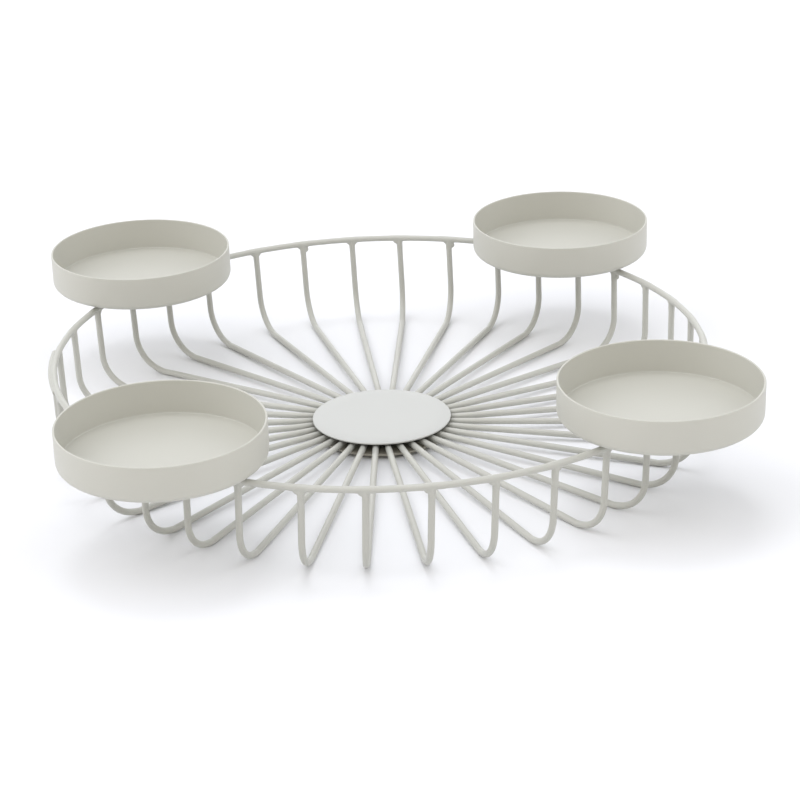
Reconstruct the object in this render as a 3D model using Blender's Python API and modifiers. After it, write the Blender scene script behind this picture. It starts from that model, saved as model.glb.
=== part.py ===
"""A metal advent wreath: a round wire basket whose rim carries four candle cups.

Thirty-six bent wires hang from a rim ring, touch the surface at their feet and run in to a hub, where
they lie between a top disc and a base plate. The cups sit on the rim ring, about a quarter turn apart,
each on a small flat seat.

Units are metres and +Z is up. The origin is the point on the surface under the middle of the hub.
"""
import math

import bpy
from mathutils import Vector

# Wire
WIRE_RADIUS = 0.0015
GAP = 0.0003                     # left wherever two pieces meet

# Rim ring, to the wire's centreline
RING_RADIUS = 0.1526
RING_HEIGHT = 0.0433

# Candle cups
CUP_RADIUS = 0.045
CUP_HEIGHT = 0.0166
CUP_WALL = 0.001
CUP_BOTTOM_ROUND = 0.003         # outside, where the wall turns into the base
CUP_RIM_ROUND = 0.0003
SEAT_SIZE = (0.008, 0.040, 0.0008)   # outward, along the ring, and thick
# Each cup's place in degrees, counted from +X towards +Y
CUP_AZIMUTHS = {"front_left": 225.6, "front_right": 315.4, "back_right": 44.3, "back_left": 134.7}

# Spokes
SPOKE_COUNT = 36
BEND_RADIUS = 0.0165             # of the centreline, at the outer corner
BEND_REACH = 0.1521              # the outer corner's distance from the axis
BEND_DROP = 0.0046               # the outer corner's height
FOOT_REACH = 0.136               # where a spoke touches the surface
FOOT_ROUND = 0.006
SIDE_LEAN_DEG = 0.6              # the foot trails the rim end by this much
HUB_READ_REACH = 0.041           # the distance at which the hub drift below is stated
SPOKE_END_REACH = 0.026          # the inner end, hidden between the hub's two plates
SPOKE_END_HEIGHT = 0.0052        # on average

# Hub
TOP_DISC_RADIUS = 0.0331
TOP_DISC_THICKNESS = 0.0008
TOP_DISC_TILT_DEG = 1.2          # it was welded on slightly askew, higher in front
BASE_PLATE_RADIUS = 0.0325
BASE_PLATE_THICKNESS = 0.0012
BASE_PLATE_HEIGHT = 0.0015       # of its underside
PLATE_EDGE_ROUND = 0.00025

# The wires were set by hand, so their spacing wanders. Each drift is its mean in degrees, then the
# waves round the wreath as (waves per turn, size in degrees, phase in degrees).
RIM_DRIFT = (0.1, ((1, 1.6, 142.0), (2, 0.95, 108.0)))
HUB_DRIFT = (-2.6, ((1, 1.6, 163.0), (2, 1.5, 156.0)))
# These wires stand off even that, by so many degrees
STRAY_DEG = {7: -0.5, 9: 0.3, 12: -0.3, 13: 0.6, 15: -0.7, 23: 0.8, 25: -0.35}

# Fineness of the solids
RING_STEPS = 144
WIRE_SIDES = 8
TURN_STEPS = 64
BEND_STEPS = 7
FOOT_STEPS = 2
ROUND_STEPS = 3


def clear_scene():
    for item in list(bpy.data.objects):
        bpy.data.objects.remove(item, do_unlink=True)


def new_collection(name):
    group = bpy.data.collections.new(name)
    bpy.context.scene.collection.children.link(group)
    return group


def paint(name, color, roughness):
    """Satin powder coat over steel: the coat hides the metal, so nothing shows as metallic."""
    coat = bpy.data.materials.new(name)
    coat.use_nodes = True
    shader = coat.node_tree.nodes["Principled BSDF"]
    shader.inputs["Base Color"].default_value = (*color, 1.0)
    shader.inputs["Roughness"].default_value = roughness
    shader.inputs["Metallic"].default_value = 0.0
    return coat


def polar(reach, azimuth, height):
    return Vector((reach * math.cos(azimuth), reach * math.sin(azimuth), height))


def drift(rule, azimuth):
    """How far a hand-set wire lies from its even place, in radians."""
    mean, waves = rule
    total = mean
    for count, size, phase in waves:
        total += size * math.sin(count * azimuth + math.radians(phase))
    return math.radians(total)


def quarter_round(center, radius, start_deg, end_deg):
    """Points (distance from axis, height) of one rounded corner of a turned profile."""
    points = []
    for step in range(ROUND_STEPS + 1):
        angle = math.radians(start_deg + (end_deg - start_deg) * step / ROUND_STEPS)
        points.append((center[0] + radius * math.cos(angle), center[1] + radius * math.sin(angle)))
    return points


def turned(name, profile, place, coat, group):
    """Turns a profile about the upright axis. It starts and ends on the axis."""
    mesh = bpy.data.meshes.new(name)
    edges = [(index, index + 1) for index in range(len(profile) - 1)]
    mesh.from_pydata([(reach, 0.0, height) for reach, height in profile], edges, [])
    body = bpy.data.objects.new(name, mesh)
    group.objects.link(body)
    body.location = place
    mesh.materials.append(coat)
    screw = body.modifiers.new("turn", "SCREW")
    screw.steps = TURN_STEPS
    screw.render_steps = TURN_STEPS
    screw.use_merge_vertices = True
    screw.merge_threshold = 0.00001
    screw.use_smooth_shade = True
    return body


def cup_profile():
    """From the middle of the floor out, up the inside, over the rim, down the outside and back in."""
    inner = CUP_RADIUS - CUP_WALL
    inner_round = CUP_BOTTOM_ROUND - CUP_WALL
    rim = CUP_HEIGHT - CUP_RIM_ROUND
    profile = [(0.0, CUP_WALL)]
    profile += quarter_round((inner - inner_round, CUP_BOTTOM_ROUND), inner_round, -90, 0)
    profile += [(inner, rim), (inner + CUP_RIM_ROUND, CUP_HEIGHT)]
    profile += [(CUP_RADIUS - CUP_RIM_ROUND, CUP_HEIGHT), (CUP_RADIUS, rim)]
    profile += quarter_round((CUP_RADIUS - CUP_BOTTOM_ROUND, CUP_BOTTOM_ROUND), CUP_BOTTOM_ROUND, 0, -90)
    profile.append((0.0, 0.0))
    return profile


def plate_profile(radius, thickness):
    """A flat disc with its edge lightly broken, from the middle of the top round to the bottom."""
    inset = radius - PLATE_EDGE_ROUND
    profile = [(0.0, thickness)]
    profile += quarter_round((inset, thickness - PLATE_EDGE_ROUND), PLATE_EDGE_ROUND, 90, 0)
    profile += quarter_round((inset, PLATE_EDGE_ROUND), PLATE_EDGE_ROUND, 0, -90)
    profile.append((0.0, 0.0))
    return profile


def make_rim_ring(coat, group):
    bpy.ops.mesh.primitive_torus_add(
        major_segments=RING_STEPS, minor_segments=WIRE_SIDES,
        major_radius=RING_RADIUS, minor_radius=WIRE_RADIUS, location=(0.0, 0.0, RING_HEIGHT))
    ring = bpy.context.object
    ring.name = "rim_ring"
    ring.data.materials.append(coat)
    ring.data.shade_smooth()
    for owner in list(ring.users_collection):
        owner.objects.unlink(ring)
    group.objects.link(ring)


def make_seat(name, azimuth, coat, group):
    """A flat strip, welded along the top of the rim ring and hidden under its cup."""
    height = RING_HEIGHT + WIRE_RADIUS + GAP + SEAT_SIZE[2] / 2
    bpy.ops.mesh.primitive_cube_add(
        size=1.0, location=polar(RING_RADIUS, azimuth, height),
        rotation=(0.0, 0.0, azimuth), scale=SEAT_SIZE)
    seat = bpy.context.object
    seat.name = name
    seat.data.materials.append(coat)
    for owner in list(seat.users_collection):
        owner.objects.unlink(seat)
    group.objects.link(seat)


def make_cups(coat, group):
    """Each cup's middle stands on the rim ring's circle, about halfway between two spokes."""
    profile = cup_profile()
    base = RING_HEIGHT + WIRE_RADIUS + GAP + SEAT_SIZE[2] + GAP
    for name, degrees in CUP_AZIMUTHS.items():
        azimuth = math.radians(degrees)
        make_seat("cup_seat_" + name, azimuth, coat, group)
        turned("candle_cup_" + name, profile, polar(RING_RADIUS, azimuth, base), coat, group)


def make_hub(coat, group):
    top = SPOKE_END_HEIGHT + WIRE_RADIUS + GAP
    disc = plate_profile(TOP_DISC_RADIUS, TOP_DISC_THICKNESS)
    top_disc = turned("hub_top_disc", disc, (0.0, 0.0, top), coat, group)
    top_disc.rotation_euler.x = -math.radians(TOP_DISC_TILT_DEG)
    plate = plate_profile(BASE_PLATE_RADIUS, BASE_PLATE_THICKNESS)
    turned("hub_base_plate", plate, (0.0, 0.0, BASE_PLATE_HEIGHT), coat, group)


def bend(before, corner, after, radius, steps):
    """Points of the arc that rounds one corner of a wire."""
    back = (before - corner).normalized()
    ahead = (after - corner).normalized()
    half_angle = back.angle(ahead) / 2
    center = corner + (back + ahead).normalized() * (radius / math.sin(half_angle))
    tangent = radius / math.tan(half_angle)
    start = corner + back * tangent - center
    end = corner + ahead * tangent - center
    return [center + start.slerp(end, step / steps).normalized() * radius for step in range(steps + 1)]


def spoke_route(number):
    """Rim end, bend, foot and hub end of one wire. From the bend in it lies in one upright plane."""
    even_azimuth = 2 * math.pi * (number - 1) / SPOKE_COUNT
    stray = math.radians(STRAY_DEG.get(number, 0.0))
    rim_azimuth = even_azimuth + drift(RIM_DRIFT, even_azimuth) + stray
    foot_azimuth = rim_azimuth - math.radians(SIDE_LEAN_DEG)
    hub_azimuth = even_azimuth + drift(HUB_DRIFT, even_azimuth)
    rim_end = polar(RING_RADIUS, rim_azimuth, RING_HEIGHT - WIRE_RADIUS - GAP)
    foot = polar(FOOT_REACH, foot_azimuth, WIRE_RADIUS)
    inward = polar(HUB_READ_REACH, hub_azimuth, WIRE_RADIUS) - foot
    run_share = (FOOT_REACH - SPOKE_END_REACH) / (FOOT_REACH - HUB_READ_REACH)
    hub_end = foot + inward * run_share
    hub_end.z = SPOKE_END_HEIGHT - math.tan(math.radians(TOP_DISC_TILT_DEG)) * hub_end.y
    corner = foot - inward.normalized() * (BEND_REACH - FOOT_REACH)
    corner.z = BEND_DROP
    route = [rim_end]
    route += bend(rim_end, corner, foot, BEND_RADIUS, BEND_STEPS)
    route += bend(corner, foot, hub_end, FOOT_ROUND, FOOT_STEPS)
    route.append(hub_end)
    return route


def make_wire(name, route, coat, group):
    curve = bpy.data.curves.new(name, "CURVE")
    curve.dimensions = "3D"
    curve.bevel_depth = WIRE_RADIUS
    curve.bevel_resolution = WIRE_SIDES // 2 - 2
    curve.use_fill_caps = True
    spline = curve.splines.new("POLY")
    spline.points.add(len(route) - 1)
    for point, place in zip(spline.points, route):
        point.co = (*place, 1.0)
    spline.use_smooth = True
    curve.materials.append(coat)
    group.objects.link(bpy.data.objects.new(name, curve))


def make_spokes(coat, group):
    for number in range(1, SPOKE_COUNT + 1):
        make_wire("spoke_%02d" % number, spoke_route(number), coat, group)


def build():
    clear_scene()
    group = new_collection("metal_advent_wreath")
    wire_coat = paint("wire_coat", (0.60, 0.58, 0.51), 0.45)
    cup_coat = paint("cup_coat", (0.62, 0.60, 0.53), 0.45)
    hub_coat = paint("hub_coat", (0.64, 0.62, 0.56), 0.5)
    make_rim_ring(wire_coat, group)
    make_spokes(wire_coat, group)
    make_cups(cup_coat, group)
    make_hub(hub_coat, group)


build()
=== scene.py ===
# %% [markdown]
# # A metal advent wreath
# A round basket of bent wire carries four shallow candle cups on its rim. Every piece is steel
# under one cream powder coat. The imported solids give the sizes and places. This script dresses
# them: each solid is replaced by a finer piece of the same size, with welds, soft edges and the
# coat's own skin. Lengths are in metres, +Z is up, and the origin lies on the table under the
# middle of the hub.

# %% Load the frame
import math

import bpy
from mathutils import Matrix, Vector


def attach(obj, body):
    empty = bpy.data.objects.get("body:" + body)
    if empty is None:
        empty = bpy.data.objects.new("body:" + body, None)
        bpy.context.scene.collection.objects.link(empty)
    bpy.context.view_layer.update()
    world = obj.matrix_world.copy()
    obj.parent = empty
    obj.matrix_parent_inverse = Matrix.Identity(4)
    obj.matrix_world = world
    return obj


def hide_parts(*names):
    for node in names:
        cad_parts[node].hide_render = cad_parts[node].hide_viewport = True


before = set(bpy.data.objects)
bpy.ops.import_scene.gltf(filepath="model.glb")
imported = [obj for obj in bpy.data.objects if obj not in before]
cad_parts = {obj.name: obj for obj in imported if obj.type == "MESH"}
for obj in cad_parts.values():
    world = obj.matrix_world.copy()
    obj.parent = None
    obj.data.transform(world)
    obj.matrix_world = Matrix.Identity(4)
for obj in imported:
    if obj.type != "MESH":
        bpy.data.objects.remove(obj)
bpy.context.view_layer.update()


def in_mm(values):
    return [round(value * 1000, 1) for value in values]


# %% [markdown]
# ## The camera
# A product picture is taken with a long lens, so that the near cups don't look much larger than the
# far ones. The camera looks down at 23.8 degrees and is rolled a little, because it was held by
# hand. It is made first, because everything after it is judged through it.

# %% Place the camera
LENS_MM = 100.13
FILM_WIDTH_MM = 36.0
CAMERA_PLACE = (0.00893, -0.97196, 0.44423)
CAMERA_PITCH = math.radians(23.79)
CAMERA_ROLL = math.radians(-1.70)
CAMERA_TURN = math.radians(-7.44)       # round the wreath's own axis

bpy.ops.object.select_all(action="DESELECT")
bpy.ops.object.camera_add()
camera = bpy.context.object
camera.name = "picture_camera"
camera.data.lens = LENS_MM
camera.data.sensor_width = FILM_WIDTH_MM
aim = Matrix.Rotation(math.pi / 2 - CAMERA_PITCH, 4, "X") @ Matrix.Rotation(CAMERA_ROLL, 4, "Z")
camera.matrix_world = Matrix.Rotation(CAMERA_TURN, 4, "Z") @ Matrix.Translation(CAMERA_PLACE) @ aim
bpy.context.scene.camera = camera
print("camera", round(camera.matrix_world.translation.length, 3), "m from the hub")

# %% [markdown]
# ## Sizes of the pieces
# These are the sizes that the solids were built with. A wreath of this kind is bent from 3 mm wire
# on a jig, so one set of numbers serves all 36 spokes.

# %% Sizes
WIRE_RADIUS = 0.0015
GAP = 0.0003                            # the solids keep this clear where two of them meet
RING_RADIUS = 0.1526
RING_HEIGHT = 0.0433
CUP_RADIUS = 0.045
CUP_HEIGHT = 0.0166
CUP_WALL = 0.001
CUP_BOTTOM_ROUND = 0.003                # outside, where the wall turns into the base
CUP_CREASE_ROUND = 0.0007               # inside, where the wall meets the floor
SEAT_SIZE = (0.008, 0.040, 0.0008)      # outward, along the ring, and thick
SEAT_BASE = RING_HEIGHT + WIRE_RADIUS + GAP
CUP_BASE = SEAT_BASE + SEAT_SIZE[2] + GAP
# Each cup's place in degrees, counted from +X towards +Y
CUP_AZIMUTHS = {"front_left": 225.6, "front_right": 315.4, "back_right": 44.3, "back_left": 134.7}
SPOKE_COUNT = 36
BEND_RADIUS = 0.0165                    # of the wire's centreline, at the outer corner
BEND_REACH = 0.1521                     # the outer corner's distance from the axis
BEND_DROP = 0.0046                      # the outer corner's height
FOOT_REACH = 0.136                      # where a spoke touches the table
FOOT_ROUND = 0.006
HUB_READ_REACH = 0.041                  # the distance at which the hub drift is stated
SPOKE_END_REACH = 0.026                 # the inner end, hidden between the hub's two plates
SPOKE_END_HEIGHT = 0.0052
HUB_TILT = math.radians(1.2)            # the top disc stands higher in front than at the back


def polar(reach, azimuth, height):
    return Vector((reach * math.cos(azimuth), reach * math.sin(azimuth), height))


print("cups stand on", round(CUP_BASE * 1000, 1), "mm")

# %% [markdown]
# ## Small helpers
# Blender's operators act on whatever is selected, so each piece is made with nothing else selected.
# In edit mode, faces and edges are picked in code by their place. A finished piece rides on the
# part's one body and hides the solid it stands for.

# %% Helpers for modelling
MERGE_DISTANCE = 0.00001
LEVEL = 0.99                            # a face is level if its normal is this upright


def new_piece(name):
    """Names the object that an operator has just added."""
    piece = bpy.context.object
    piece.name = name
    piece.data.name = name
    return piece


def select_only(*pieces):
    bpy.ops.object.select_all(action="DESELECT")
    for piece in pieces:
        piece.select_set(True)
    bpy.context.view_layer.objects.active = pieces[0]


def pick(piece, kind, test):
    """In edit mode, selects the vertices, edges or faces that pass a test on their place."""
    bpy.ops.object.mode_set(mode="OBJECT")
    kinds = ("VERTEX", "EDGE", "FACE")
    bpy.context.tool_settings.mesh_select_mode = [kind == each for each in kinds]
    mesh = piece.data
    for group in (mesh.vertices, mesh.edges, mesh.polygons):
        for item in group:
            item.select = False
    if kind == "FACE":
        for face in mesh.polygons:
            face.select = test(face.center, face.normal)
    elif kind == "EDGE":
        for edge in mesh.edges:
            start, end = [mesh.vertices[index].co for index in edge.vertices]
            edge.select = test(start, end)
    else:
        for vertex in mesh.vertices:
            vertex.select = test(vertex.co)
    bpy.ops.object.mode_set(mode="EDIT")


def extrude_by(step):
    bpy.ops.mesh.extrude_region_move(TRANSFORM_OT_translate={"value": step})


def close_skin():
    """Merges the doubled points of a spun or extruded wire and turns its faces outwards."""
    bpy.ops.mesh.select_all(action="SELECT")
    bpy.ops.mesh.remove_doubles(threshold=MERGE_DISTANCE)
    bpy.ops.mesh.select_all(action="SELECT")
    bpy.ops.mesh.normals_make_consistent(inside=False)
    bpy.ops.object.mode_set(mode="OBJECT")


def apply_place(piece):
    """Puts the place, turn and size of an object into its mesh."""
    select_only(piece)
    bpy.ops.object.transform_apply(location=True, rotation=True, scale=True)


def add_modifier(piece, kind, **settings):
    modifier = piece.modifiers.new(kind.lower(), kind)
    for key, value in settings.items():
        setattr(modifier, key, value)
    select_only(piece)
    bpy.ops.object.modifier_apply(modifier=modifier.name)


def copy_piece(source, name, move):
    """A copy with its own mesh, moved inside the mesh, so that the object stays at the origin."""
    piece = bpy.data.objects.new(name, source.data.copy())
    piece.data.name = name
    piece.data.transform(move)
    bpy.context.scene.collection.objects.link(piece)
    return piece


def drop_pattern(source):
    """Removes a first model once its copies are made."""
    bpy.data.objects.remove(source, do_unlink=True)


def settle(piece, slot, *nodes):
    """The piece rides on the part's body and stands for its solids. Its slot is not used."""
    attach(piece, "root")
    if nodes:
        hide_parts(*nodes)


print("helpers ready")

# %% [markdown]
# ## The rim ring
# On the real wreath the rim is one length of wire, rolled to a hoop and welded end to end. A torus
# is that hoop at once. The butt weld sits under a cup, where nobody sees it: there the wire swells
# a little, which is a short stretch of the torus scaled up around the wire's own middle.

# %% Model the rim ring
RING_STEPS = 288
WIRE_SIDES = 20
BUTT_WELD_AZIMUTH = math.radians(135)
BUTT_WELD_LENGTH = 0.0024
BUTT_WELD_SWELL = 1.12

bpy.ops.object.select_all(action="DESELECT")
bpy.ops.mesh.primitive_torus_add(
    major_segments=RING_STEPS, minor_segments=WIRE_SIDES, major_radius=RING_RADIUS,
    minor_radius=WIRE_RADIUS, location=(0, 0, RING_HEIGHT))
ring = new_piece("ring_of_wire")
apply_place(ring)
butt_weld = polar(RING_RADIUS, BUTT_WELD_AZIMUTH, RING_HEIGHT)
pick(ring, "VERTEX", lambda place: (place - butt_weld).length < BUTT_WELD_LENGTH)
bpy.ops.transform.resize(value=[BUTT_WELD_SWELL] * 3, center_override=butt_weld)
bpy.ops.object.mode_set(mode="OBJECT")
bpy.ops.object.shade_smooth()
settle(ring, "wire", "rim_ring")
print("ring:", len(ring.data.polygons), "faces")

# %% [markdown]
# ## The rim's lap
# On the left, the rim wire's end runs on beside the ring for two spokes and stands a little outside
# it. It is a circle spun round a middle that lies off the hub, so that it parts from the ring
# towards its cut end.

# %% Model the lap
LAP_START = math.radians(171.2)
LAP_TURN = math.radians(18.3)
LAP_STEPS = 16
LAP_SHIFT = (-0.0013, 0.0032, -0.0007)  # of its circle's middle, from the ring's
LAP_END_ROUND = 0.0004
LAP_SHARP = math.radians(50)

lap_middle = Vector((0, 0, RING_HEIGHT)) + Vector(LAP_SHIFT)
bpy.ops.object.select_all(action="DESELECT")
bpy.ops.mesh.primitive_circle_add(
    vertices=WIRE_SIDES, radius=WIRE_RADIUS, fill_type="NGON",
    location=lap_middle + polar(RING_RADIUS, LAP_START, 0), rotation=(math.pi / 2, 0, LAP_START))
lap = new_piece("ring_lap")
apply_place(lap)
bpy.ops.object.mode_set(mode="EDIT")
bpy.ops.mesh.select_all(action="SELECT")
bpy.ops.mesh.spin(steps=LAP_STEPS, angle=-LAP_TURN, center=lap_middle, axis=(0, 0, 1))
close_skin()
add_modifier(lap, "BEVEL", width=LAP_END_ROUND, segments=3, limit_method="ANGLE",
             angle_limit=math.radians(60))
bpy.ops.object.shade_smooth_by_angle(angle=LAP_SHARP)
settle(lap, "wire")
lap_reaches = [v.co.xy.length for v in lap.data.vertices]
print("lap: from", in_mm([min(lap_reaches)]), "to", in_mm([max(lap_reaches)]), "mm off the axis,",
      len(lap.data.polygons), "faces")

# %% [markdown]
# ## One spoke
# A spoke is a straight wire with two bends: a wide one at the outer corner and a slight kink at the
# foot, from where it runs flat to the hub. It could be a curve with a round bevel, but a circle
# that is extruded along the straights and spun round each bend keeps the wire exactly round, as on
# the bending jig. The first spoke is modelled in the upright plane y = 0, with x as the distance
# from the hub.

# %% Work out the bends
RIM_END = Vector((RING_RADIUS, 0, RING_HEIGHT - WIRE_RADIUS - GAP))
CORNER = Vector((BEND_REACH, 0, BEND_DROP))
FOOT = Vector((FOOT_REACH, 0, WIRE_RADIUS))
HUB_END = Vector((SPOKE_END_REACH, 0, SPOKE_END_HEIGHT))


def bend(before, corner, after, radius):
    """Start, end and middle of the arc that rounds a corner, and the angle the wire turns."""
    back = (before - corner).normalized()
    ahead = (after - corner).normalized()
    half_angle = back.angle(ahead) / 2
    middle = corner + (back + ahead).normalized() * (radius / math.sin(half_angle))
    tangent = radius / math.tan(half_angle)
    return corner + back * tangent, corner + ahead * tangent, middle, math.pi - 2 * half_angle


outer_start, outer_end, outer_middle, outer_turn = bend(RIM_END, CORNER, FOOT, BEND_RADIUS)
kink_start, kink_end, kink_middle, kink_turn = bend(CORNER, FOOT, HUB_END, FOOT_ROUND)
LEG = (RIM_END - outer_start).normalized()
print("outer bend", round(math.degrees(outer_turn), 1), "degrees,",
      "kink", round(math.degrees(kink_turn), 1), "degrees")

# %% Model the first spoke
OUTER_STEPS = 18
KINK_STEPS = 5
RUN_STEPS = 6

leg_top = RIM_END + LEG * (WIRE_RADIUS + GAP)
bpy.ops.object.select_all(action="DESELECT")
bpy.ops.mesh.primitive_circle_add(
    vertices=WIRE_SIDES, radius=WIRE_RADIUS, location=leg_top,
    rotation=LEG.to_track_quat("Z", "Y").to_euler())
first_spoke = new_piece("first_spoke")
apply_place(first_spoke)
bpy.ops.object.mode_set(mode="EDIT")
bpy.ops.mesh.select_all(action="SELECT")
extrude_by(outer_start - leg_top)
bpy.ops.mesh.spin(steps=OUTER_STEPS, angle=-outer_turn, center=outer_middle, axis=(0, 1, 0))
extrude_by(kink_start - outer_end)
bpy.ops.mesh.spin(steps=KINK_STEPS, angle=-kink_turn, center=kink_middle, axis=(0, 1, 0))
for step in range(RUN_STEPS):
    extrude_by((HUB_END - kink_end) / RUN_STEPS)
bpy.ops.mesh.edge_face_add()
close_skin()
bpy.ops.object.shade_smooth()
print("spoke:", len(first_spoke.data.polygons), "faces")

# %% [markdown]
# ## Thirty-six spokes, set by hand
# The spokes were tacked one by one, so their spacing wanders, and their feet trail the rim a
# little. Each copy gets its own mesh and is fitted between three points: its end at the rim, its
# foot, and its end at the hub. One matrix from three points does this and keeps the wire straight
# and round.

# %% Where each spoke goes
SIDE_LEAN = math.radians(0.6)
# Each drift is its mean in degrees, then waves as (waves per turn, degrees of size, degrees of
# phase).
RIM_DRIFT = (0.1, ((1, 1.6, 142.0), (2, 0.95, 108.0)))
HUB_DRIFT = (-2.6, ((1, 1.6, 163.0), (2, 1.5, 156.0)))
# These spokes stand off even that, by so many degrees.
STRAY_DEG = {7: -0.5, 9: 0.3, 12: -0.3, 13: 0.6, 15: -0.7, 23: 0.8, 25: -0.35}


def drift(rule, azimuth):
    """How far a hand-set wire lies from its even place, in radians."""
    mean, waves = rule
    total = mean
    for count, size, phase in waves:
        total += size * math.sin(count * azimuth + math.radians(phase))
    return math.radians(total)


def spoke_points(number):
    """The rim end, foot and hub end of one spoke."""
    even = 2 * math.pi * (number - 1) / SPOKE_COUNT
    rim_azimuth = even + drift(RIM_DRIFT, even) + math.radians(STRAY_DEG.get(number, 0))
    rim_end = polar(RING_RADIUS, rim_azimuth, RIM_END.z)
    foot = polar(FOOT_REACH, rim_azimuth - SIDE_LEAN, WIRE_RADIUS)
    read = polar(HUB_READ_REACH, even + drift(HUB_DRIFT, even), WIRE_RADIUS)
    hub_end = foot + (read - foot) * (FOOT_REACH - SPOKE_END_REACH) / (FOOT_REACH - HUB_READ_REACH)
    hub_end.z = SPOKE_END_HEIGHT - HUB_TILT * hub_end.y
    return rim_end, foot, hub_end


def three_point_frame(rim_end, foot, hub_end):
    """A matrix with its origin at the foot, along both straights of a spoke and across them."""
    up = rim_end - foot
    inward = hub_end - foot
    side = up.cross(inward).normalized()
    base = Matrix((up, inward, side)).transposed().to_4x4()
    base.translation = foot
    return base


print("spoke 1 meets the rim at", in_mm(spoke_points(1)[0]), "mm")

# %% Copy the spokes
first_frame = three_point_frame(RIM_END, FOOT, HUB_END).inverted()
spokes = []
for number in range(1, SPOKE_COUNT + 1):
    fit = three_point_frame(*spoke_points(number)) @ first_frame
    spoke = copy_piece(first_spoke, "wire_%02d" % number, fit)
    settle(spoke, "wire", "spoke_%02d" % number)
    spokes.append(spoke)
drop_pattern(first_spoke)
print(len(spokes), "spokes")

# %% [markdown]
# ## Welds on the rim
# Where a spoke meets the ring, the weld flows a few millimetres along both wires, and the coat
# rounds it off. Bevels can't join two round wires like this. So short lengths of both wires and a
# flat drop of weld metal are put together, remeshed to one skin and smoothed, which draws fillets
# between them. The outer ends are tapered, so that the skin dives into the plain wires.

# %% Model the rim weld
WELD_REACH = 0.0032                     # along the ring, each way, at full thickness
WELD_TAPER = 0.004
WELD_DROP = 0.0045                      # down the spoke
SKIN_RADIUS = 0.00162                   # smoothing takes the excess over the wire's radius away
TAPER_SCALE = 0.88
WELD_SIDES = 24
DROP_RINGS = 16
WELD_GRAIN = 0.0003                     # the size of the skin's faces
WELD_SMOOTHING = 8


def short_wire(name, length, tapered_ends, rotation, middle):
    """A length of wire that tapers at the ends named by +1 (upper) and -1 (lower)."""
    bpy.ops.object.select_all(action="DESELECT")
    bpy.ops.mesh.primitive_cylinder_add(
        vertices=WELD_SIDES, radius=SKIN_RADIUS, depth=length, location=(0, 0, 0))
    piece = new_piece(name)
    for sign in tapered_ends:
        pick(piece, "FACE", lambda place, normal: normal.z * sign > LEVEL)
        extrude_by((0, 0, sign * WELD_TAPER))
        bpy.ops.transform.resize(value=(TAPER_SCALE, TAPER_SCALE, 1))
    bpy.ops.object.mode_set(mode="OBJECT")
    piece.rotation_euler = rotation
    piece.location = middle
    apply_place(piece)
    return piece


def weld_drop(place, size):
    """A ball of weld metal, squashed to its size."""
    bpy.ops.object.select_all(action="DESELECT")
    bpy.ops.mesh.primitive_uv_sphere_add(
        segments=WELD_SIDES, ring_count=DROP_RINGS, radius=1, location=place, scale=size)
    piece = new_piece("weld_drop")
    apply_place(piece)
    return piece


def mm(*values):
    return tuple(value / 1000 for value in values)


def model_weld(name, drops):
    """One weld skin at the origin: outward is +X, the ring runs along Y, the spoke goes down."""
    along_ring = (math.pi / 2, 0, 0)
    parts = [short_wire(name, 2 * WELD_REACH, (1, -1), along_ring, (0, 0, 0)),
             short_wire("weld_leg", WELD_DROP, (-1,), (0, 0, 0), (0, 0, -WELD_DROP / 2))]
    parts += [weld_drop(mm(*place), mm(*size)) for place, size in drops]
    select_only(*parts)
    bpy.ops.object.join()
    weld = bpy.context.object
    add_modifier(weld, "REMESH", mode="VOXEL", voxel_size=WELD_GRAIN, adaptivity=0.0)
    add_modifier(weld, "SMOOTH", factor=0.5, iterations=WELD_SMOOTHING)
    bpy.ops.object.shade_smooth()
    return weld


# Each kind of weld: the place and size of its drops in millimetres
WELD_DROPS = {
    "even": [((0, 0, -1.7), (1.35, 2.8, 1.3))],
    "one_side": [((0, 1.2, -1.7), (1.3, 2.1, 1.4))],
    "sided": [((0, 0.9, -1.8), (1.35, 2.5, 1.4)), ((0, -0.8, -1.5), (1.3, 2.0, 1.1))],
    "full": [((0.1, 0, -1.8), (1.5, 3.4, 1.6)), ((0.5, 0.4, -1.9), (1.5, 1.6, 1.6))],
    "lump": [((0, 0, -1.7), (1.35, 2.7, 1.3)), ((0.2, 1.9, -3.1), (1.2, 1.2, 1.5))],
}
weld_models = {kind: model_weld(kind + "_weld", drops) for kind, drops in WELD_DROPS.items()}
weld_faces = {kind: len(weld.data.polygons) for kind, weld in weld_models.items()}
print("weld faces:", weld_faces)

# %% Copy the welds
# The spokes that carry each kind. All others have an even one.
WELD_KINDS = {
    "one_side": (1, 2, 3, 9, 16, 17, 22, 27, 28, 29, 30, 34),
    "sided": (5, 7, 15, 20, 24, 26, 35),
    "full": (13, 21, 33),
    "lump": (4, 8, 11),
}
# These have their heavier side on the spoke's other side.
TURNED_WELDS = (4, 6, 8, 11, 13, 16, 19, 21, 24, 26, 27, 28, 29, 32, 35)


def weld_frame(number):
    """The ring's outward and along directions at a spoke, and the spoke's own upward direction."""
    rim_end, foot, hub_end = spoke_points(number)
    fit = three_point_frame(rim_end, foot, hub_end) @ first_frame
    upward = (fit @ RIM_END - fit @ outer_start).normalized()
    outward = Vector((rim_end.x, rim_end.y, 0)).normalized()
    along = Vector((-outward.y, outward.x, 0))
    base = Matrix((outward, along, upward)).transposed().to_4x4()
    base.translation = rim_end + upward * (WIRE_RADIUS + GAP)
    return base


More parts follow.
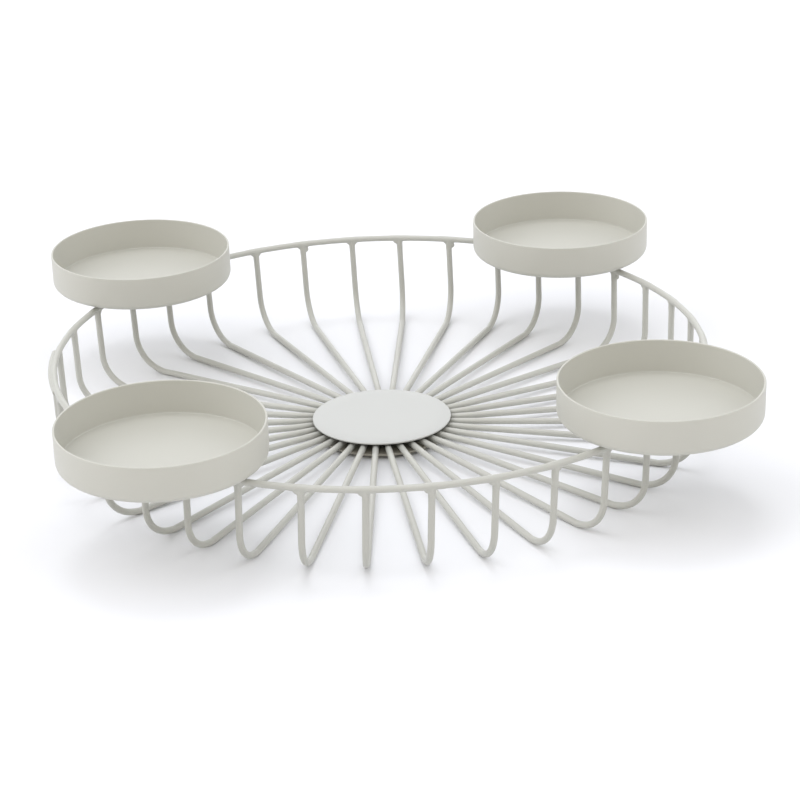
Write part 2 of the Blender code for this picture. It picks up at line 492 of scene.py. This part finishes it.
welds = []
for number in range(1, SPOKE_COUNT + 1):
    kind = next((kind for kind, numbers in WELD_KINDS.items() if number in numbers), "even")
    side = -1 if number in TURNED_WELDS else 1
    place = weld_frame(number) @ Matrix.Diagonal((1, side, 1, 1))
    weld = copy_piece(weld_models[kind], "rim_weld_%02d" % number, place)
    if side < 0:
        weld.data.flip_normals()
    settle(weld, "wire")
    welds.append(weld)
for source in weld_models.values():
    drop_pattern(source)
print(len(welds), "rim welds")

# %% [markdown]
# ## The candle cups
# A cup is pressed from 1 mm sheet: a flat floor, a round corner of 3 mm outside and a tight crease
# inside, and an upright wall whose lip is only lightly broken. Turning a profile would give the
# same shape. Here it is cut from a solid drum, as it can be done by hand: inset the top, push the
# inner face down, and bevel the corner, the crease and both edges of the lip, each by its own
# width.

# %% Helpers for pressed sheet
NEAR_RING = 0.00005
NEAR_AXIS = 0.001
LEVEL_RINGS = 3
SHEET_SHARP = math.radians(40)          # edges that bend more than this stay sharp


def level_ring(height, radius):
    """A test for the edges that lie at one height and one distance from the axis."""
    def near(place):
        return abs(place.z - height) < NEAR_RING and abs(place.xy.length - radius) < NEAR_RING

    return lambda start, end: near(start) and near(end)


def level_middle(place, normal):
    """A test for the level faces whose middle lies on the axis."""
    return abs(normal.z) > LEVEL and place.xy.length < NEAR_AXIS


def bevel_edges(piece, test, width, segments):
    pick(piece, "EDGE", test)
    bpy.ops.mesh.bevel(offset=width, segments=segments, profile=0.5, affect="EDGES")


def inset_rings(piece, width):
    """Rings in the level faces keep them from being one wide polygon."""
    pick(piece, "FACE", level_middle)
    for step in range(LEVEL_RINGS):
        bpy.ops.mesh.inset(thickness=width)
    bpy.ops.object.mode_set(mode="OBJECT")


print("sheet helpers ready")

# %% Model the first cup
CUP_SIDES = 160
LIP_ROUND = 0.0004
CUP_RING_WIDTH = 0.01
FLOOR_LIFT = CUP_BASE + CUP_WALL
CUP_TOP = CUP_BASE + CUP_HEIGHT
INNER_RADIUS = CUP_RADIUS - CUP_WALL

bpy.ops.object.select_all(action="DESELECT")
bpy.ops.mesh.primitive_cylinder_add(
    vertices=CUP_SIDES, radius=CUP_RADIUS, depth=CUP_HEIGHT,
    location=(0, 0, CUP_BASE + CUP_HEIGHT / 2))
first_cup = new_piece("first_cup")
apply_place(first_cup)
pick(first_cup, "FACE", lambda place, normal: normal.z > LEVEL)
bpy.ops.mesh.inset(thickness=CUP_WALL)
extrude_by((0, 0, CUP_WALL - CUP_HEIGHT))
bevel_edges(first_cup, level_ring(CUP_BASE, CUP_RADIUS), CUP_BOTTOM_ROUND, segments=8)
bevel_edges(first_cup, level_ring(FLOOR_LIFT, INNER_RADIUS), CUP_CREASE_ROUND, segments=4)
bevel_edges(first_cup, level_ring(CUP_TOP, CUP_RADIUS), LIP_ROUND, segments=3)
bevel_edges(first_cup, level_ring(CUP_TOP, INNER_RADIUS), LIP_ROUND, segments=3)
inset_rings(first_cup, CUP_RING_WIDTH)
bpy.ops.object.shade_smooth_by_angle(angle=SHEET_SHARP)
print("cup:", len(first_cup.data.polygons), "faces")

# %% Copy the cups
cups = []
for name, azimuth in CUP_AZIMUTHS.items():
    place = polar(RING_RADIUS, math.radians(azimuth), 0)
    turn = Matrix.Rotation(math.radians(azimuth), 4, "Z")
    cup = copy_piece(first_cup, "cup_" + name, Matrix.Translation(place) @ turn)
    settle(cup, "cup", "candle_cup_" + name)
    cups.append(cup)
drop_pattern(first_cup)
print([cup.name for cup in cups])

# %% [markdown]
# ## The cup seats
# A flat strip lies between the ring and each cup, so that a sheet base can be welded to a round
# wire. It is cut from flat bar, so a cube is stretched to its size. Its four upright edges get a
# wide bevel, and then all the level ones a fine one.

# %% Model and copy the seats
SEAT_CORNER_ROUND = 0.0025
SEAT_EDGE_ROUND = 0.0002

bpy.ops.object.select_all(action="DESELECT")
bpy.ops.mesh.primitive_cube_add(
    size=1, location=(RING_RADIUS, 0, SEAT_BASE + SEAT_SIZE[2] / 2), scale=SEAT_SIZE)
first_seat = new_piece("first_seat")
apply_place(first_seat)


def is_upright(start, end):
    return abs(start.z - end.z) > SEAT_SIZE[2] / 2


def is_level(start, end):
    return not is_upright(start, end)


bevel_edges(first_seat, is_upright, SEAT_CORNER_ROUND, segments=5)
bevel_edges(first_seat, is_level, SEAT_EDGE_ROUND, segments=2)
bpy.ops.object.mode_set(mode="OBJECT")
bpy.ops.object.shade_smooth_by_angle(angle=SHEET_SHARP)
seats = []
for name, azimuth in CUP_AZIMUTHS.items():
    seat = copy_piece(first_seat, "seat_" + name, Matrix.Rotation(math.radians(azimuth), 4, "Z"))
    settle(seat, "cup", "cup_seat_" + name)
    seats.append(seat)
drop_pattern(first_seat)
print([seat.name for seat in seats])

# %% [markdown]
# ## The hub
# Two round blanks hold the spokes between them. Each is punched from sheet, so its edge is only
# lightly broken. A disc with a small bevel on both rims shows the thin bright edge line that a real
# blank has. The top one was welded on a little askew, so it is tilted once it is made.

# %% Model the hub plates
DISC_SIDES = 144
DISC_EDGE_ROUND = 0.00025
DISC_RING_WIDTH = 0.008
# Each plate: the solid it stands for, its radius, the height of its underside, and its thickness
DISC_SIZES = {
    "hub_disc": ("hub_top_disc", 0.0331, SPOKE_END_HEIGHT + WIRE_RADIUS + GAP, 0.0008),
    "hub_plate": ("hub_base_plate", 0.0325, 0.0015, 0.0012),
}
hub_plates = []
for name, (node, radius, bottom, thickness) in DISC_SIZES.items():
    bpy.ops.object.select_all(action="DESELECT")
    bpy.ops.mesh.primitive_cylinder_add(
        vertices=DISC_SIDES, radius=radius, depth=thickness, location=(0, 0, bottom + thickness / 2))
    plate = new_piece(name)
    apply_place(plate)
    for height in (bottom, bottom + thickness):
        bevel_edges(plate, level_ring(height, radius), DISC_EDGE_ROUND, segments=3)
    inset_rings(plate, DISC_RING_WIDTH)
    if name == "hub_disc":
        plate.data.transform(Matrix.Rotation(-HUB_TILT, 4, "X"))
    bpy.ops.object.shade_smooth_by_angle(angle=SHEET_SHARP)
    settle(plate, "hub", node)
    hub_plates.append(plate)
print([plate.name for plate in hub_plates])

# %% [markdown]
# ## The coat's skin
# Powder coat is melted plastic powder. It levels out to a satin skin with a soft ripple, called
# orange peel, of one to two millimetres, and a much finer grain. A node group makes both from
# noise, so that the wire, the cups and the hub share one skin with their own strengths.

# %% Build the skin group
PEEL_SCALE = 700.0                      # ripples in a metre, unless a coat sets its own
GRAIN_SCALE = 4500.0
GRAIN_SHARE = 0.25                      # of the ripple's height
CLOUD_SCALE = 45.0                      # wide patches of tone


def make_skin_group():
    """Puts out the skin's height and slow clouds of tone, both read from the place on the piece."""
    group = bpy.data.node_groups.new("powder_coat_skin", "ShaderNodeTree")
    sockets = group.interface
    for name, default in (("Peel Scale", PEEL_SCALE), ("Grain Scale", GRAIN_SCALE)):
        socket = sockets.new_socket(name, in_out="INPUT", socket_type="NodeSocketFloat")
        socket.default_value = default
    for name in ("Height", "Cloud"):
        sockets.new_socket(name, in_out="OUTPUT", socket_type="NodeSocketFloat")
    nodes, links = group.nodes, group.links
    inside = nodes.new("NodeGroupInput")
    outside = nodes.new("NodeGroupOutput")
    place = nodes.new("ShaderNodeTexCoord")
    peel = nodes.new("ShaderNodeTexNoise")
    grain = nodes.new("ShaderNodeTexNoise")
    cloud = nodes.new("ShaderNodeTexNoise")
    for noise in (peel, grain, cloud):
        links.new(place.outputs["Object"], noise.inputs["Vector"])
    links.new(inside.outputs["Peel Scale"], peel.inputs["Scale"])
    links.new(inside.outputs["Grain Scale"], grain.inputs["Scale"])
    peel.inputs["Detail"].default_value = 1.0
    grain.inputs["Detail"].default_value = 2.0
    cloud.inputs["Scale"].default_value = CLOUD_SCALE
    cloud.inputs["Detail"].default_value = 3.0
    mix = nodes.new("ShaderNodeMath")
    mix.operation = "MULTIPLY_ADD"
    mix.inputs[1].default_value = GRAIN_SHARE
    links.new(grain.outputs["Fac"], mix.inputs[0])
    links.new(peel.outputs["Fac"], mix.inputs[2])
    links.new(mix.outputs[0], outside.inputs["Height"])
    links.new(cloud.outputs["Fac"], outside.inputs["Cloud"])
    return group


skin_group = make_skin_group()
print("skin group:", [item.name for item in skin_group.interface.items_tree])

# %% [markdown]
# ## One coat, four tones
# All the steel gets the same powder, made here in four close tones. The hub's top disc is painted a
# little cooler and darker than the cups, as painted light for the cool light on its level top, and
# the round wires have the smoothest skin. The base plate is painted dark, as painted shade for the
# shadow under the top disc and the spokes. One function makes all four, each from two close tones.

# %% Build the coats
COAT_IOR = 1.5
GLOSS_SWING = 0.05


def make_coat(name, light, dark, peel_scale, peel_height, roughness):
    """A satin powder coat: two close tones, a rippled skin, and a gloss that varies a little."""
    coat = bpy.data.materials.new(name)
    coat.use_nodes = True
    nodes, links = coat.node_tree.nodes, coat.node_tree.links
    shader = nodes["Principled BSDF"]
    shader.inputs["IOR"].default_value = COAT_IOR
    skin = nodes.new("ShaderNodeGroup")
    skin.node_tree = skin_group
    skin.inputs["Peel Scale"].default_value = peel_scale
    tone = nodes.new("ShaderNodeMix")
    tone.data_type = "RGBA"
    tone.inputs["A"].default_value = (*dark, 1)
    tone.inputs["B"].default_value = (*light, 1)
    links.new(skin.outputs["Cloud"], tone.inputs["Factor"])
    links.new(tone.outputs["Result"], shader.inputs["Base Color"])
    gloss = nodes.new("ShaderNodeMapRange")
    gloss.inputs["To Min"].default_value = roughness - GLOSS_SWING
    gloss.inputs["To Max"].default_value = roughness + GLOSS_SWING
    links.new(skin.outputs["Cloud"], gloss.inputs["Value"])
    links.new(gloss.outputs["Result"], shader.inputs["Roughness"])
    ripple = nodes.new("ShaderNodeBump")
    ripple.inputs["Strength"].default_value = 1.0
    ripple.inputs["Distance"].default_value = peel_height
    links.new(skin.outputs["Height"], ripple.inputs["Height"])
    links.new(ripple.outputs["Normal"], shader.inputs["Normal"])
    return coat


# Each coat: light tone, dark tone, ripples in a metre, their height, and roughness
COATS = {
    "wire_coat": ((0.49, 0.49, 0.448), (0.465, 0.465, 0.423), 900.0, 0.000006, 0.38),
    "cup_coat": ((0.520, 0.516, 0.464), (0.495, 0.491, 0.439), 600.0, 0.00003, 0.42),
    # The hub coat is painted cooler and darker than the cup coat: painted light for the cool light
    # on its level top.
    "hub_coat": ((0.49, 0.496, 0.475), (0.465, 0.471, 0.45), 600.0, 0.00003, 0.40),
    # The base plate's coat is painted dark: painted shade for the shadow under the top disc and
    # spokes.
    "base_plate_painted_shade": ((0.33, 0.315, 0.265), (0.30, 0.285, 0.235), 600.0, 0.00003, 0.50),
}
coats = {name: make_coat(name, *values) for name, values in COATS.items()}
print("coats:", list(coats))

# %% Put the coats on
top_disc, base_plate = hub_plates
coated = {
    "wire_coat": [ring, lap] + spokes + welds,
    "cup_coat": cups + seats,
    # The top disc gets the coat whose cooler, darker tone is painted light.
    "hub_coat": [top_disc],
    # The base plate gets the dark coat that is painted shade.
    "base_plate_painted_shade": [base_plate],
}
for name, pieces in coated.items():
    for piece in pieces:
        piece.data.materials.clear()
        piece.data.materials.append(coats[name])

# %% [markdown]
# ## Table
# A high-key product picture stands on a white table that fills the view. A plain plane does that,
# and its paint is slightly rough, so that it shows soft shade and no mirror image.

# %% Table
TABLE_SIZE = 12
TABLE_COLOR = (0.795, 0.80, 0.815)
TABLE_ROUGHNESS = 0.7

bpy.ops.object.select_all(action="DESELECT")
bpy.ops.mesh.primitive_plane_add(size=TABLE_SIZE)
table = new_piece("table")
table_paint = bpy.data.materials.new("table_paint")
table_paint.use_nodes = True
paint = table_paint.node_tree.nodes["Principled BSDF"]
paint.inputs["Base Color"].default_value = (*TABLE_COLOR, 1)
paint.inputs["Roughness"].default_value = TABLE_ROUGHNESS
table.data.materials.append(table_paint)
print("table", table.dimensions[:], "m")

# %% [markdown]
# ## Light
# The picture's shade is broad and faint, as in a white tent with soft boxes round it. Area lights
# could stand for the boxes, but they fade with distance and would leave the table's edges grey. So
# the boxes are painted on the world as soft round glows: a glow is brightest in one direction and
# falls off with a power of the cosine. One node group makes a glow, and each soft box is a copy of
# it with its own direction and colour.

# %% Build the glow group
GLOW_FALLOFF = 6.0                      # the cosine's power: the higher, the smaller the glow


def make_glow_group():
    """Adds one soft box to the light that the boxes before it give."""
    group = bpy.data.node_groups.new("soft_box_glow", "ShaderNodeTree")
    sockets = group.interface
    sockets.new_socket("Toward", in_out="INPUT", socket_type="NodeSocketVector")
    sockets.new_socket("Glow", in_out="INPUT", socket_type="NodeSocketColor")
    sockets.new_socket("Below", in_out="INPUT", socket_type="NodeSocketColor")
    sockets.new_socket("Light", in_out="OUTPUT", socket_type="NodeSocketColor")
    nodes, links = group.nodes, group.links
    inside = nodes.new("NodeGroupInput")
    outside = nodes.new("NodeGroupOutput")
    look = nodes.new("ShaderNodeTexCoord")
    facing = nodes.new("ShaderNodeVectorMath")
    facing.operation = "DOT_PRODUCT"
    links.new(look.outputs["Generated"], facing.inputs[0])
    links.new(inside.outputs["Toward"], facing.inputs[1])
    front = nodes.new("ShaderNodeMath")
    front.operation = "MAXIMUM"
    front.inputs[1].default_value = 0.0
    links.new(facing.outputs["Value"], front.inputs[0])
    falloff = nodes.new("ShaderNodeMath")
    falloff.operation = "POWER"
    falloff.inputs[1].default_value = GLOW_FALLOFF
    links.new(front.outputs[0], falloff.inputs[0])
    tinted = nodes.new("ShaderNodeVectorMath")
    tinted.operation = "SCALE"
    links.new(inside.outputs["Glow"], tinted.inputs[0])
    links.new(falloff.outputs[0], tinted.inputs["Scale"])
    total = nodes.new("ShaderNodeVectorMath")
    total.operation = "ADD"
    links.new(inside.outputs["Below"], total.inputs[0])
    links.new(tinted.outputs["Vector"], total.inputs[1])
    links.new(total.outputs["Vector"], outside.inputs["Light"])
    return group


glow_group = make_glow_group()
print("glow group:", [item.name for item in glow_group.interface.items_tree])

# %% Set the soft boxes round the table
# Each box: degrees round from +X, degrees above the table, and how bright it is in red, green
# and blue
SOFT_BOXES = {
    "left": (172.6, 50, (1.96, 1.98, 2.10)),
    "right": (352.6, 50, (1.08, 1.12, 1.22)),
    "front": (262.6, 50, (1.44, 1.42, 1.40)),
    "low_back": (82.6, 15, (1.85, 1.87, 1.90)),
    "low_left": (172.6, 15, (1.42, 1.39, 1.36)),
    "low_front": (262.6, 15, (0.55, 0.49, 0.40)),
    "low_right": (352.6, 15, (1.48, 1.43, 1.36)),
}
bpy.context.scene.view_settings.view_transform = "Standard"
room = bpy.data.worlds.new("white_tent")
bpy.context.scene.world = room
room.use_nodes = True
room_nodes, room_links = room.node_tree.nodes, room.node_tree.links
last_glow = None
for name, (azimuth, height, color) in SOFT_BOXES.items():
    glow = room_nodes.new("ShaderNodeGroup")
    glow.node_tree = glow_group
    glow.label = name
    lift = math.radians(height)
    toward = polar(math.cos(lift), math.radians(azimuth), math.sin(lift))
    glow.inputs["Toward"].default_value = toward
    glow.inputs["Glow"].default_value = (*color, 1)
    glow.inputs["Below"].default_value = (0, 0, 0, 1)
    if last_glow:
        room_links.new(last_glow.outputs["Light"], glow.inputs["Below"])
    last_glow = glow
room_links.new(last_glow.outputs["Light"], room_nodes["Background"].inputs["Color"])
print(len(SOFT_BOXES), "soft boxes")

# %% [markdown]
# ## The key light
# Soft boxes alone leave no shadow under a thin wire. One lamp hangs high behind the wreath and
# draws the narrow shade that lies under each wire. A sun lamp does it: it is the same everywhere on
# the table, and its angle sets how soft the shade's edge is.

# %% Add the key light
KEY_AZIMUTH = math.radians(95)
KEY_TILT = math.radians(12)             # off the zenith
KEY_WIDTH = math.radians(18)
KEY_STRENGTH = 0.42
KEY_COLOR = (0.98, 1.0, 1.03)

bpy.ops.object.select_all(action="DESELECT")
bpy.ops.object.light_add(type="SUN", location=(0, 0, 1))
key = bpy.context.object
key.name = "key_light"
key.data.angle = KEY_WIDTH
key.data.energy = KEY_STRENGTH
key.data.color = KEY_COLOR
toward_key = polar(math.sin(KEY_TILT), KEY_AZIMUTH, math.cos(KEY_TILT))
key.rotation_euler = toward_key.to_track_quat("Z", "Y").to_euler()
print("key light", round(key.data.energy, 2), "at", [round(v, 2) for v in toward_key])
